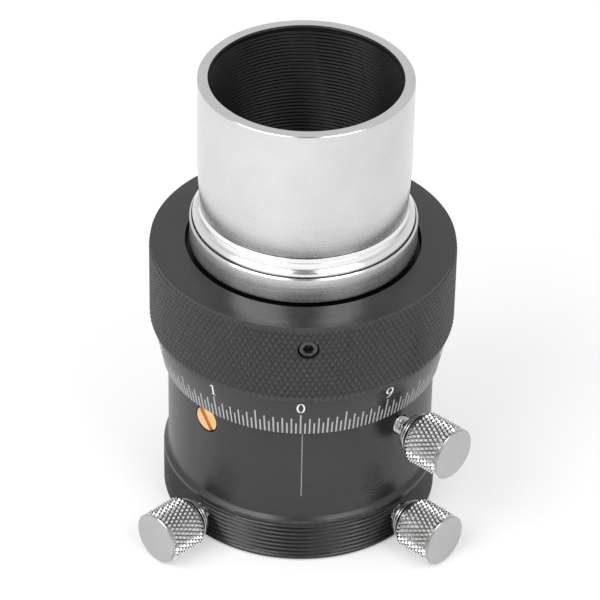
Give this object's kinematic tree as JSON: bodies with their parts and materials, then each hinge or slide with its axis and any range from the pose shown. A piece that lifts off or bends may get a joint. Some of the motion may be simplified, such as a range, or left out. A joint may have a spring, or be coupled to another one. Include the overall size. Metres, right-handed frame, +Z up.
{
  "type": "helical focuser",
  "caption": "1.25 inch helical focuser: knurled ring with a scale drives a keyed drawtube and polished nosepiece; thumbscrews lock the focus and clamp the eyepiece.",
  "frame": {"origin": "on the optical axis in the bottom face of the eyepiece end, which is also the middle of the bounding box's base to within 0.5 mm along X and along Y", "axes": "+Z up the optical axis towards the nosepiece; -Y through the index line on the housing; +X to the right of a viewer who faces the index line"},
  "size_m": [0.0498, 0.0469, 0.0735],
  "materials": {
    "black_anodised": "fine satin black anodised",
    "polished_aluminium": "turned and polished, black inside the bore",
    "nickel_plate": "bright nickel, knurled, with matt end faces",
    "brass": "turned, unlacquered",
    "black_oxide_steel": "black oxide",
    "white_ptfe": "plain"
  },
  "bodies": {
    "housing": {"body_shell": "black_anodised", "guide_screw": "brass", "compression_ring": "brass", "thrust_washer": "white_ptfe", "retaining_ring": "black_anodised"},
    "focus_ring": {"knurled_ring": "black_anodised", "scale_sleeve": "black_anodised", "helicoid_nut": "brass", "ring_set_screw_1": "black_oxide_steel", "ring_set_screw_2": "black_oxide_steel", "ring_set_screw_3": "black_oxide_steel"},
    "drawtube_body": {"drawtube": "polished_aluminium", "adapter_ring": "polished_aluminium", "nosepiece_barrel": "polished_aluminium"},
    "focus_lock_carrier": {"focus_lock_pad": "brass"},
    "focus_lock_screw": {"focus_lock_thumbscrew": "nickel_plate"},
    "clamp_carrier_left": {"clamp_pad_left": "brass"},
    "clamp_screw_left": {"eyepiece_thumbscrew_left": "nickel_plate"},
    "clamp_carrier_right": {"clamp_pad_right": "brass"},
    "clamp_screw_right": {"eyepiece_thumbscrew_right": "nickel_plate"}
  },
  "joints": [
    {"name": "focus_turn", "type": "hinge", "parent": "housing", "child": "focus_ring", "pos_m": [0, 0, 0.0387], "axis": [0, 0, 1], "range_deg": [0, 360]},
    {"name": "drawtube_slide", "type": "slide", "parent": "housing", "child": "drawtube_body", "axis": [0, 0, 1], "range_m": [0, 0.01]},
    {"name": "focus_lock_advance", "type": "slide", "parent": "housing", "child": "focus_lock_carrier", "axis": [0.7314, -0.682, 0], "range_m": [0, 0.0015]},
    {"name": "focus_lock_turn", "type": "hinge", "parent": "focus_lock_carrier", "child": "focus_lock_screw", "pos_m": [0.01828, -0.01705, 0.02075], "axis": [0.7314, -0.682, 0], "range_deg": [0, 1080]},
    {"name": "clamp_left_advance", "type": "slide", "parent": "housing", "child": "clamp_carrier_left", "axis": [-0.7193, -0.6947, 0], "range_m": [0, 0.0015]},
    {"name": "clamp_left_turn", "type": "hinge", "parent": "clamp_carrier_left", "child": "clamp_screw_left", "pos_m": [-0.01798, -0.01737, 0.0042], "axis": [-0.7193, -0.6947, 0], "range_deg": [0, 1080]},
    {"name": "clamp_right_advance", "type": "slide", "parent": "housing", "child": "clamp_carrier_right", "axis": [0.7193, -0.6947, 0], "range_m": [0, 0.0015]},
    {"name": "clamp_right_turn", "type": "hinge", "parent": "clamp_carrier_right", "child": "clamp_screw_right", "pos_m": [0.01798, -0.01737, 0.0042], "axis": [0.7193, -0.6947, 0], "range_deg": [0, 1080]}
  ],
  "couplings": [
    {"joint": "drawtube_slide", "follows": "focus_turn", "m_per_rad": 0.0015915},
    {"joint": "focus_lock_turn", "follows": "focus_lock_advance", "rad_per_m": 12566},
    {"joint": "clamp_left_turn", "follows": "clamp_left_advance", "rad_per_m": 12566},
    {"joint": "clamp_right_turn", "follows": "clamp_right_advance", "rad_per_m": 12566}
  ]
}
